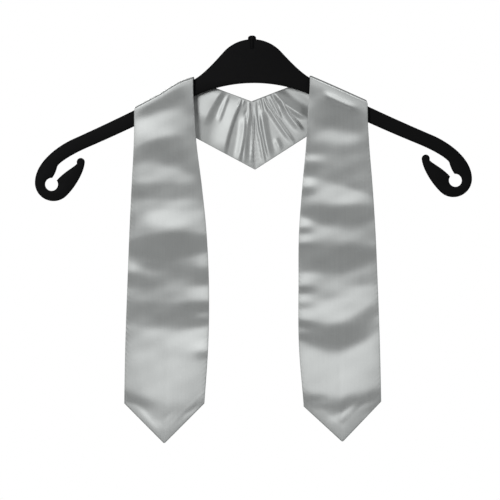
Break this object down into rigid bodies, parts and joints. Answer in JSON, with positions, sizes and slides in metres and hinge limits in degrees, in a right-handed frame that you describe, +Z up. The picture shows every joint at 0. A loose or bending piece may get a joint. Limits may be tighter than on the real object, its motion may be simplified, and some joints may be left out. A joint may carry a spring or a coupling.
{
  "type": "graduation stole on a hanger",
  "caption": "Child's satin graduation stole with pointed ends and a V back neck, hung over a flat black hanger with curled ends.",
  "frame": {"origin": "the hanging point: the top of the stud at the middle of the hanger's dome", "axes": "+Z up, +X across the hanger to the right as seen from the front, -Y towards the viewer in front of the stole"},
  "size_m": [0.4588, 0.0192, 0.428],
  "materials": {
    "satin_face": "smooth silver-grey polyester satin",
    "satin_backing": "smooth silver-grey polyester satin, gathered at the centre back",
    "black_plastic": "black moulded plastic with a fine sheen"
  },
  "bodies": {
    "root": {"left_face": "satin_face", "left_backing": "satin_backing", "right_face": "satin_face", "right_backing": "satin_backing", "hanger": "black_plastic", "hook_stud": "black_plastic"}
  },
  "joints": []
}
